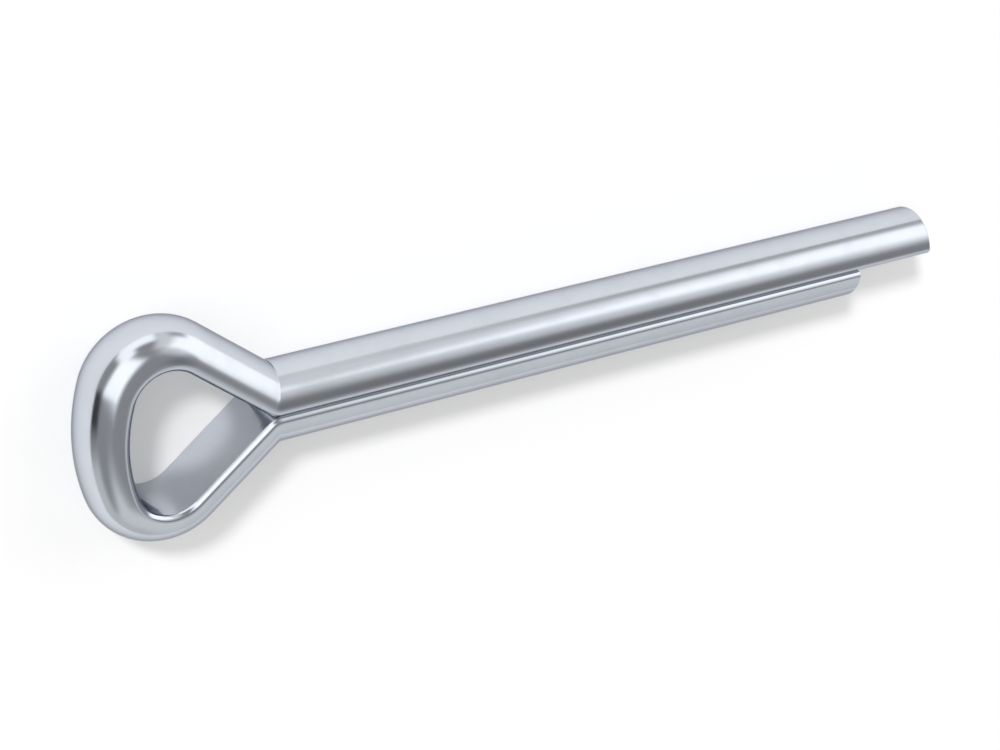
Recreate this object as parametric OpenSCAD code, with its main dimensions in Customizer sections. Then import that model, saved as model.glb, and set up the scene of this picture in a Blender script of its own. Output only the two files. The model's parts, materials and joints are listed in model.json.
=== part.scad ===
// Split cotter pin: one length of half-round wire folded flat to flat.
// The eye lies in the XY plane, the legs run along +X and the shank's axis is the X axis.
// X = 0 is the neck, where the legs part to form the eye and from where the length is measured.

/* [Shank] */
// Diameter of the round shank that the two half-round legs make together
shank_d = 4.6; // [3:0.1:6]
// Length of the shorter leg, from the neck to its tip
short_leg_l = 40; // [15:0.5:120]
// Length of the longer leg, which the tip is prised open by
long_leg_l = 45.5; // [16:0.5:130]
// Slit between the two flats of the closed legs
leg_gap = 0.1; // [0.05:0.05:0.4]

/* [Wire] */
// Radius that rounds the two long edges of the flat
edge_r = 0.28; // [0.15:0.01:0.45]
// Width of the strip along each edge of the flat, which falls away from its middle
strip_w = 0.46; // [0.2:0.02:0.7]
// Angle by which each strip falls away
edge_fall = 5; // [1:0.5:8]

/* [Eye] */
// Width inside the eye, from flat to flat
eye_w = 8.6; // [7.5:0.1:11]
// Length inside the eye, from the neck to the far flat
eye_l = 8.9; // [7.5:0.1:13]
// Radius of the flat in the two corners of the eye
corner_r = 2.05; // [1.6:0.05:3]
// Radius of the flat across the far end of the eye
end_r = 9.5; // [7.5:0.5:20]
// Radius of the flat where each leg bends into the eye
neck_r = 1.25; // [0.8:0.05:1.6]

/* [Hidden] */
$fn = 128;

shank_r = shank_d / 2;
flat_x = leg_gap / 2;
// Facets of one rounded edge
edge_steps = 4;
// Each bend is this much slimmer than the wire on either side of it
seam = 0.02;
// Neighbouring stretches of the wire run this far into each other
lap = 0.08;

// Section of the wire: the edge rounding touches the round back at edge_a, seen from the shank's axis
edge_x = flat_x + strip_w * sin(edge_fall) + edge_r * cos(edge_fall);
edge_a = acos(edge_x / (shank_r - edge_r));
edge_c = [edge_x, (shank_r - edge_r) * sin(edge_a)];
edge_from_a = 180 - edge_fall;
// Half the width of the flat's level middle, between the strips
level_w = edge_c.y + edge_r * sin(edge_fall) - strip_w * cos(edge_fall);

// Line of the flat round the eye, upper half: neck bend, straight flank, corner, far end
neck_c = [0, flat_x + neck_r];
corner_y = eye_w / 2 - corner_r;
end_c = [end_r - eye_l, 0];
corner_c = [end_c.x - sqrt(pow(end_r - corner_r, 2) - pow(corner_y, 2)), corner_y];
flank_v = neck_c - corner_c;
flank_a = atan2(flank_v.x, flank_v.y) - acos((neck_r + corner_r) / norm(flank_v));
flank_l = sqrt(pow(norm(flank_v), 2) - pow(neck_r + corner_r, 2));
flank_start = neck_c - neck_r * [sin(flank_a), cos(flank_a)];
corner_end_a = atan2(corner_c.y, corner_c.x - end_c.x);

// Angle that runs a bend of this radius into its neighbours by the lap
function lap_a(bend_r) = lap / bend_r * 180 / PI;

// Point of the section's rounded edge, from the flat (t = 0) to the round back (t = 1)
function edge_point(t, r) =
  let (a = edge_from_a + t * (edge_a - edge_from_a))
    edge_c + r * [cos(a), sin(a)];

// Half-round section of the wire: X runs from the shank's axis to the round back, Y is its width
module wire_section(inset = 0) {
  edge = [for (i = [0:edge_steps]) edge_point(i / edge_steps, edge_r - inset)];
  upper = concat([[flat_x + inset, level_w]], edge, [[shank_d, shank_d]]);
  lower = [for (i = [len(upper) - 1:-1:0]) [upper[i].x, -upper[i].y]];
  intersection() {
    circle(r = shank_r - inset);
    polygon(concat(upper, lower));
  }
}

// Straight wire from the origin along +X, with its flat towards -Y
module straight_wire(length) {
  rotate([90, 0, 90]) linear_extrude(length) wire_section();
}

// Wire bent round the origin with its flat inside, at radius flat_r
module bent_wire(flat_r, from_a, to_a, inset = 0) {
  rotate_extrude(angle = to_a - from_a, start = from_a)
    translate([flat_r - flat_x, 0]) wire_section(inset);
}

// Bend at the neck with its flat outside: on the wire's back, leg and flank meet in a crease
module neck_bend() {
  rotate_extrude(angle = flank_a, start = 270 - flank_a) intersection() {
    translate([neck_r + flat_x, 0]) mirror([1, 0]) wire_section(seam);
    translate([lap / 2, -shank_r]) square([neck_r, shank_d]);
  }
}

// Upper half of the pin: a leg, its neck bend, and the eye's flank and corner
module half_pin(leg_l) {
  translate([-lap, 0, 0]) straight_wire(leg_l + lap);
  translate(neck_c) neck_bend();
  translate(flank_start) rotate(-flank_a)
    translate([-flank_l, -flat_x, 0]) straight_wire(flank_l + lap);
  translate(corner_c)
    bent_wire(corner_r, 90 - flank_a - lap_a(corner_r), corner_end_a + lap_a(corner_r), seam);
}

module cotter_pin() {
  color("silver") union() {
    half_pin(long_leg_l);
    mirror([0, 1, 0]) half_pin(short_leg_l);
    translate(end_c) bent_wire(end_r, corner_end_a, 360 - corner_end_a);
  }
}

cotter_pin();
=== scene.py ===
import json
import math

import bmesh
import bpy
from mathutils import Matrix, Vector


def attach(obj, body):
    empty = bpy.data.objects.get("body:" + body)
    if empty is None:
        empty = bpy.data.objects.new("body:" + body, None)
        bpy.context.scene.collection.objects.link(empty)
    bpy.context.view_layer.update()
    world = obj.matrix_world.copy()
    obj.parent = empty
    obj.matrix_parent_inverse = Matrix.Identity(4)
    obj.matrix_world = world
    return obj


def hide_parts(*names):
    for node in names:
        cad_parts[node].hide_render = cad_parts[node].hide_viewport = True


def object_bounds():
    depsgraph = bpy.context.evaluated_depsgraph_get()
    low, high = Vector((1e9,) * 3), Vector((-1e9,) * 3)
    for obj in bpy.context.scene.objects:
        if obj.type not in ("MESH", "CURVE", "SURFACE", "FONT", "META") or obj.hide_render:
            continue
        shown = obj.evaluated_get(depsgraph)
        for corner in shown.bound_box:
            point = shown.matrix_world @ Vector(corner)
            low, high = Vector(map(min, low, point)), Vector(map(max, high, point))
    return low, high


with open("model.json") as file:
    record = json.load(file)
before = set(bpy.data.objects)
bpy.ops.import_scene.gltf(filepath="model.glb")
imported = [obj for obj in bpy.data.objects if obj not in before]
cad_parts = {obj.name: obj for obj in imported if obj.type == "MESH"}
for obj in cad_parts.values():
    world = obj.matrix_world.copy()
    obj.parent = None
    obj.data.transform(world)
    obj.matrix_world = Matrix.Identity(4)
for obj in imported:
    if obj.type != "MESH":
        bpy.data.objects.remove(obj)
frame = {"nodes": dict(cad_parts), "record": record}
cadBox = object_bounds()
mm = 0.001
print("frame loaded:", ", ".join(frame["nodes"]))


# A socket of a node tree, so that shader sums can be written as sums
class Sock:
    def __init__(self, tree, out=None):
        self.tree = tree
        self.out = out

    # Any node: its type, its settings, then the values or links of its sockets
    def node(self, kind, settings=None, sockets=None, out=0):
        made = self.tree.nodes.new(kind)
        for name, value in (settings or {}).items():
            setattr(made, name, value)
        for name, value in (sockets or {}).items():
            if isinstance(value, Sock):
                self.tree.links.new(value.out, made.inputs[name])
            else:
                made.inputs[name].default_value = value
        return Sock(self.tree, made.outputs[out]) if made.outputs else made

    def beside(self, name):  # another output of the same node
        return Sock(self.tree, self.out.node.outputs[name])

    def math(self, operation, *values):
        return self.node("ShaderNodeMath", {"operation": operation}, dict(enumerate(values)))

    def __add__(self, other):
        return self.math("ADD", self, other)

    def __sub__(self, other):
        return self.math("SUBTRACT", self, other)

    def __rsub__(self, other):
        return self.math("SUBTRACT", other, self)

    def __mul__(self, other):
        return self.math("MULTIPLY", self, other)

    def __abs__(self):
        return self.math("ABSOLUTE", self)

    __radd__ = __add__
    __rmul__ = __mul__

    def over(self, low, high):  # soft step from 0 at low to 1 at high
        return self.node("ShaderNodeMapRange", {"interpolation_type": "SMOOTHSTEP"},
                         {"Value": self, "From Min": low, "From Max": high})

    def dot(self, vector):
        return self.node("ShaderNodeVectorMath", {"operation": "DOT_PRODUCT"},
                         {0: self, 1: vector}, "Value")

    def stretched(self, vector):
        return self.node("ShaderNodeVectorMath", {"operation": "MULTIPLY"}, {0: self, 1: vector})

    def noise(self, detail, roughness, scale=1):
        return self.node("ShaderNodeTexNoise", None, {
            "Vector": self, "Scale": scale, "Detail": detail, "Roughness": roughness})

    def blend(self, one, two):  # two colours by this share; 6, 7 and 2 are the colour sockets
        return self.node("ShaderNodeMix", {"data_type": "RGBA"}, {0: self, 6: one, 7: two}, 2)


def newTree(owner):
    owner.use_nodes = True
    owner.node_tree.nodes.clear()
    return Sock(owner.node_tree)


def along(azimuth, elevation):  # unit vector, degrees
    az = math.radians(azimuth)
    el = math.radians(elevation)
    return Vector((math.cos(el) * math.cos(az), math.cos(el) * math.sin(az), math.sin(el)))


# Camera: lens in mm on a 36 mm sensor, the rest in mm and degrees
view = {
    "aim": (15.17, -2.07, 0),
    "azimuth": 136.95,
    "elevation": 49.2,
    "distance": 141.52,
    "roll": -1.335,
    "lens": 87.73,
    "nearest": 5,
}


def makeCamera():
    data = bpy.data.cameras.new("camera")
    data.lens = view["lens"]
    data.clip_start = view["nearest"] * mm
    camera = bpy.data.objects.new("camera", data)
    bpy.context.collection.objects.link(camera)
    back = along(view["azimuth"], view["elevation"])
    right = Vector((0, 1, 0)).cross(back).normalized()  # +Y is up in the picture
    up = back.cross(right)
    roll = Matrix.Rotation(-math.radians(view["roll"]), 3, "Z")
    turn = Matrix((right, up, back)).transposed() @ roll
    place = (Vector(view["aim"]) + back * view["distance"]) * mm
    camera.matrix_world = Matrix.Translation(place) @ turn.to_4x4()
    bpy.context.scene.camera = camera
    print("camera:", view["distance"], "mm away,", view["elevation"], "degrees up")


# The wire of the pin, in mm and degrees.
# The shank's radius, the long leg and the reach of the eye come from the frame.
wire = {
    "slit": 0.006,
    "shortLeg": 40,
    "edgeR": 0.28,
    "edgeBulge": 0.5,  # 0 is a plain bevel, 1 a full round
    "stripW": 0.46,  # the flat's two outer strips, which fall away from its level middle
    "eyeFall": 2,
    "legFall": 0.3,  # pressed flat where the legs touch
    "cornerR": 2.05,
    "endR": 9.5,
    "neckR": 1.25,
    "creaseR": 0.05,  # least radius of the neck bend, on the wire's back
    "tipBreak": 0.02,  # how far the cut edge is drawn back
    "tipRoll": 0.03,  # and how much further on the round back
    "tipDip": 0.03,
    "tipRings": (0.985, 0.85, 0.6, 0.3),  # loops of the cut face, as shares of the section
    "levelSteps": 6,
    "edgeSteps": 8,
    "crownSteps": 36,
    "legSteps": 30,
    "neckSteps": 16,
    "flankSteps": 10,
    "cornerSteps": 36,
    "endSteps": 16,
}
shank = next(m for m in frame["record"]["mounts"] if m["name"] == "shank")["dims"]
shankR = shank["r_mm"]
longLeg = shank["length_mm"]
flatY = wire["slit"] / 2
crown = shankR - flatY  # from the flat to the top of the round back
eyeHalf = cadBox[1].y / mm - crown
eyeL = -cadBox[0].x / mm - crown

# Line of the flat round the eye: neck bend, straight flank, corner, far end
neckC = Vector((0, flatY + wire["neckR"]))
endC = Vector((wire["endR"] - eyeL, 0))
cornerY = eyeHalf - wire["cornerR"]
cornerC = Vector((endC.x - math.sqrt((wire["endR"] - wire["cornerR"]) ** 2 - cornerY ** 2), cornerY))
flankV = neckC - cornerC
flankA = math.atan2(flankV.x, flankV.y) - math.acos((wire["neckR"] + wire["cornerR"]) / flankV.length)
cornerEndA = math.atan2(cornerC.y, cornerC.x - endC.x)


def steps(count, first=0):  # first / count up to 1
    return [i / count for i in range(first, count + 1)]


def arc(centre, radius, angle):
    return Vector((centre[0] + radius * math.cos(angle), centre[1] + radius * math.sin(angle)))


# Half-round section: (depth from the flat, width, sharp), from the middle of the flat all the way round
def wireSection(fallDegrees):
    fall = math.radians(fallDegrees)
    edgeR = wire["edgeR"]
    edgeX = wire["stripW"] * math.sin(fall) + edgeR * math.cos(fall)
    edgeA = math.acos((edgeX + flatY) / (shankR - edgeR))
    edgeC = (edgeX, (shankR - edgeR) * math.sin(edgeA))
    levelW = edgeC[1] + edgeR * math.sin(fall) - wire["stripW"] * math.cos(fall)
    half = [(0, levelW * t, t == 1) for t in steps(wire["levelSteps"])]
    ends = [arc(edgeC, edgeR, angle) for angle in (math.pi - fall, edgeA)]
    for t in steps(wire["edgeSteps"]):
        rounded = arc(edgeC, edgeR, math.pi - fall + (edgeA - math.pi + fall) * t)
        point = ends[0].lerp(ends[1], t).lerp(rounded, wire["edgeBulge"])
        half.append((point.x, point.y, t == 0))
    for t in steps(wire["crownSteps"], 1):
        point = arc((-flatY, 0), shankR, edgeA * (1 - t))
        half.append((point.x, point.y, False))
    widest = max(width for depth, width, sharp in half)
    stretch = cadBox[1].z / mm / widest  # as wide as the solid
    half = [(depth, width * stretch, sharp) for depth, width, sharp in half]
    return half + [(depth, -width, sharp) for depth, width, sharp in half[-2:0:-1]]


# Line that one point of the section follows, from the tip of a leg to the middle of the far end
def halfRail(depth, legL):
    bendR = max(wire["neckR"] - depth, wire["creaseR"])
    bendX = (bendR - wire["neckR"] + depth) * math.tan(flankA / 2)
    bendC = Vector((bendX, flatY + depth + bendR))
    tip = Vector((legL, flatY + depth))
    bend = [arc(bendC, bendR, -math.pi / 2 - flankA * t) for t in steps(wire["neckSteps"])]
    rail = [tip.lerp(bend[0], t) for t in steps(wire["legSteps"])[:-1]] + bend
    startA = math.pi / 2 - flankA
    corner = [arc(cornerC, wire["cornerR"] + depth, startA + (cornerEndA - startA) * t)
              for t in steps(wire["cornerSteps"])]
    rail += [bend[-1].lerp(corner[0], t) for t in steps(wire["flankSteps"], 1)[:-1]] + corner
    rail += [arc(endC, wire["endR"] + depth, cornerEndA + (math.pi - cornerEndA) * t)
             for t in steps(wire["endSteps"], 1)]
    return rail


def wholeRail(depth):
    shortHalf = [Vector((p.x, -p.y)) for p in reversed(halfRail(depth, wire["shortLeg"]))]
    return halfRail(depth, longLeg) + shortHalf[1:]


# How much of the eye's section each point of the line has: none on a leg, all of it past the neck bend
def eyeShares(count):
    half = [0] * wire["legSteps"] + steps(wire["neckSteps"])
    return half + [1] * (count - 2 * len(half)) + half[::-1]


def joinLoops(bm, one, two):
    for i in range(len(one)):
        k = (i + 1) % len(one)
        bm.faces.new((one[i], one[k], two[k], two[i]))


# Sheared end of a leg: a broken edge, rolled over on the round back, and a slightly hollow face
def addTip(bm, layers, ring, section, tipX, side, distance):
    wirePoint, cut = layers
    for vert, (depth, width, sharp) in zip(ring, section):
        vert.co.x -= (wire["tipBreak"] + wire["tipRoll"] * depth / crown) * mm
    for a, b in zip(ring, ring[1:] + ring[:1]):
        bm.edges.get((a, b)).smooth = False
    middle = crown / 2
    last = ring
    for scale in wire["tipRings"]:
        dip = wire["tipDip"] * (1 - (scale / wire["tipRings"][0]) ** 2)
        loop = []
        for depth, width, sharp in section:
            d = middle + (depth - middle) * scale
            vert = bm.verts.new(Vector((tipX - dip, side * (flatY + d), width * scale)) * mm)
            vert[wirePoint] = (distance, d, width * scale)
            vert[cut] = 1
            loop.append(vert)
        joinLoops(bm, last, loop)
        last = loop
    centre = bm.verts.new(Vector((tipX - wire["tipDip"], side * (flatY + middle), 0)) * mm)
    centre[wirePoint] = (distance, middle, 0)
    centre[cut] = 1
    for a, b in zip(last, last[1:] + last[:1]):
        bm.faces.new((a, b, centre))


def makePin():
    section = wireSection(wire["legFall"])
    eyeSection = wireSection(wire["eyeFall"])
    rails = [wholeRail(depth) for depth, width, sharp in section]
    eyeRails = [wholeRail(depth) for depth, width, sharp in eyeSection]
    shares = eyeShares(len(rails[0]))
    distances = [0]
    for a, b in zip(rails[0], rails[0][1:]):
        distances.append(distances[-1] + (b - a).length)
    bm = bmesh.new()
    wirePoint = bm.verts.layers.float_vector.new("wirePoint")  # distance along, depth and width
    cut = bm.verts.layers.float.new("cut")  # 1 on a sheared end
    loops = []
    for i, distance in enumerate(distances):
        loop = []
        for rail, eyeRail, one, two in zip(rails, eyeRails, section, eyeSection):
            place = rail[i].lerp(eyeRail[i], shares[i])
            depth, width = Vector(one[:2]).lerp(Vector(two[:2]), shares[i])
            vert = bm.verts.new(Vector((place.x, place.y, width)) * mm)
            vert[wirePoint] = (distance, depth, width)
            loop.append(vert)
        loops.append(loop)
    for one, two in zip(loops, loops[1:]):
        joinLoops(bm, one, two)
        for a, b, (depth, width, sharp) in zip(one, two, section):
            if sharp:
                bm.edges.get((a, b)).smooth = False
    addTip(bm, (wirePoint, cut), loops[0], section, longLeg, 1, distances[0])
    addTip(bm, (wirePoint, cut), loops[-1], section, wire["shortLeg"], -1, distances[-1])
    bmesh.ops.recalc_face_normals(bm, faces=bm.faces)
    for face in bm.faces:
        face.smooth = True
    mesh = bpy.data.meshes.new("cotterPinWire")
    bm.to_mesh(mesh)
    bm.free()
    pin = bpy.data.objects.new("cotterPinWire", mesh)
    bpy.context.collection.objects.link(pin)
    pin.data.materials.append(brightSteel())
    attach(pin, "root")
    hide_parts("cotter_pin")
    print("pin:", len(mesh.polygons), "faces,", round(distances[-1], 1), "mm of wire")


# Bright plated steel, drawn through a die: fine lines along the wire, faint clouds, rougher sheared ends
steel = {
    "tone": (0.64, 0.675, 0.735, 1),
    "cloudTone": (0.615, 0.65, 0.71, 1),
    "cutTone": (0.56, 0.575, 0.61, 1),
    "edgeTone": (0.4, 0.41, 0.43, 1),  # how bright it is at a glancing view
    "roughness": 0.12,
    "lineRoughness": 0.04,
    "cloudRoughness": 0.03,
    "cutRoughness": 0.22,
    "lineStretch": (0.03, 7, 7),  # per mm along, deep and across
    "hairStretch": (0.06, 26, 26),
    "cutStretch": (1, 1.5, 30),
    "cloudScale": 0.55,
    "lineNoise": (3, 0.6),  # detail and roughness
    "hairNoise": (2, 0.6),
    "cutNoise": (4, 0.7),
    "cloudNoise": (4, 0.6),
    "lineRange": (0.4, 0.7),  # noise over which it fades in
    "cutRange": (0.3, 0.7),
    "cloudRange": (0.42, 0.68),
    "lineRelief": 0.6,  # shares of bumpHeight
    "hairRelief": 0.4,
    "cutRelief": 4,
    "bumpHeight": 0.0012,  # mm
    "bumpStrength": 0.25,
}


def brightSteel():
    material = bpy.data.materials.new("brightSteel")
    tree = newTree(material)
    wirePoint = tree.node("ShaderNodeAttribute", {"attribute_name": "wirePoint"}, out="Vector")
    cut = tree.node("ShaderNodeAttribute", {"attribute_name": "cut"}, out="Fac")
    lines = wirePoint.stretched(steel["lineStretch"]).noise(*steel["lineNoise"])
    hairs = wirePoint.stretched(steel["hairStretch"]).noise(*steel["hairNoise"])
    shear = wirePoint.stretched(steel["cutStretch"]).noise(*steel["cutNoise"])
    clouds = wirePoint.noise(*steel["cloudNoise"], steel["cloudScale"]).over(*steel["cloudRange"])
    colour = clouds.blend(steel["tone"], steel["cloudTone"])
    colour = (cut * shear.over(*steel["cutRange"])).blend(colour, steel["cutTone"])
    roughness = (steel["roughness"] + lines.over(*steel["lineRange"]) * steel["lineRoughness"]
                 + clouds * steel["cloudRoughness"] + cut * steel["cutRoughness"])
    drawn = lines * steel["lineRelief"] + hairs * steel["hairRelief"]
    relief = drawn * (1 - cut) + shear * cut * steel["cutRelief"]
    bump = tree.node("ShaderNodeBump", None, {
        "Strength": steel["bumpStrength"], "Distance": steel["bumpHeight"] * mm, "Height": relief})
    shader = tree.node("ShaderNodeBsdfPrincipled", None, {
        "Base Color": colour, "Metallic": 1, "Roughness": roughness, "Specular Tint": steel["edgeTone"],
        "Normal": bump})
    tree.node("ShaderNodeOutputMaterial", None, {"Surface": shader})
    print("steel:", len(tree.tree.nodes), "nodes")
    return material


# Pale floor that the pin lies on; part of it is its own white, so that the shadow stays a light grey
ground = {
    "radius": 1.5,  # m
    "tone": (0.93, 0.93, 0.93, 1),
    "ownWhite": 0.22,
    "roughness": 0.9,
    "sides": 96,
}


def makeFloor():
    bm = bmesh.new()
    bmesh.ops.create_circle(bm, cap_ends=True, segments=ground["sides"], radius=ground["radius"])
    mesh = bpy.data.meshes.new("floor")
    bm.to_mesh(mesh)
    bm.free()
    floor = bpy.data.objects.new("floor", mesh)
    floor.location.z = cadBox[0].z
    bpy.context.collection.objects.link(floor)
    material = bpy.data.materials.new("paleFloor")
    tree = newTree(material)
    ray = tree.node("ShaderNodeLightPath", out="Is Camera Ray")
    seen = ray
    for kind in ("Is Glossy Ray", "Is Transmission Ray"):
        seen = seen.math("MAXIMUM", seen, ray.beside(kind))
    paint = tree.node("ShaderNodeBsdfPrincipled", None, {
        "Base Color": ground["tone"], "Roughness": ground["roughness"], "Specular IOR Level": 0})
    white = tree.node("ShaderNodeEmission")
    mixed = tree.node("ShaderNodeMixShader", None, {
        "Fac": seen * ground["ownWhite"], 1: paint, 2: white})
    tree.node("ShaderNodeOutputMaterial", None, {"Surface": mixed})
    mesh.materials.append(material)
    print("floor at", round(cadBox[0].z / mm, 3), "mm")


# Studio: soft panels round the pin, and a key light for the shadow. A panel is its azimuth, elevation,
# half width, half height and softness in degrees, then its level. Later panels lie over earlier ones.
studio = {
    "tone": (1, 1, 1, 1),
    "room": 0.32,
    "panels": (
        (-80, 12, 38, 38, 9, 0.78),
        (-116, 5, 34, 14, 7, 0.66),
        (-42, 60, 15, 14, 6, 0.62),
        (149, 46, 27, 21, 6, 1.5),
        (100, 4, 24, 15, 5, 1.35),
        (119, 18, 11, 14, 5, 1.35),
        (62, 16, 14, 26, 7, 0.85),
        (44, 42, 17, 13, 9, 0.8),
        (30, 20, 23, 22, 6, 1.45),
        (51, 4, 10, 8, 6, 0.48),
        (4, 62, 10, 9, 7, 0.22),
        (-174, 8, 12, 11, 5, 0.04),
    ),
    "frontRange": (0, 0.1),  # keeps a panel off the opposite side of the sky
    "keyAzimuth": 128,
    "keyElevation": 38,
    "keyStrength": 2.12,
    "keyAngle": 8,
}


def makeStudio():
    world = bpy.data.worlds.new("studio")
    bpy.context.scene.world = world
    tree = newTree(world)
    heading = tree.node("ShaderNodeTexCoord", out="Generated")
    level = studio["room"]
    for azimuth, elevation, halfW, halfH, soft, brightness in studio["panels"]:
        middle = along(azimuth, elevation)
        right = along(azimuth - 90, 0)
        up = along(azimuth, elevation + 90)
        mask = heading.dot(middle).over(*studio["frontRange"])
        for axis, half in ((right, halfW), (up, halfH)):
            inner = math.sin(math.radians(half - soft))
            outer = math.sin(math.radians(half + soft))
            mask = mask * abs(heading.dot(axis)).over(outer, inner)
        level = level * (1 - mask) + mask * brightness
    sky = tree.node("ShaderNodeBackground", None, {"Color": studio["tone"], "Strength": level})
    tree.node("ShaderNodeOutputWorld", None, {"Surface": sky})
    data = bpy.data.lights.new("keyLight", "SUN")
    data.energy = studio["keyStrength"]
    data.angle = math.radians(studio["keyAngle"])
    key = bpy.data.objects.new("keyLight", data)
    key.visible_glossy = False  # the panels are what the metal mirrors
    back = along(studio["keyAzimuth"], studio["keyElevation"])
    key.rotation_euler = back.to_track_quat("Z", "Y").to_euler()
    bpy.context.collection.objects.link(key)
    print("studio:", len(studio["panels"]), "panels and a key light")


bpy.context.scene.view_settings.view_transform = "Standard"
makeCamera()
makePin()
makeFloor()
makeStudio()
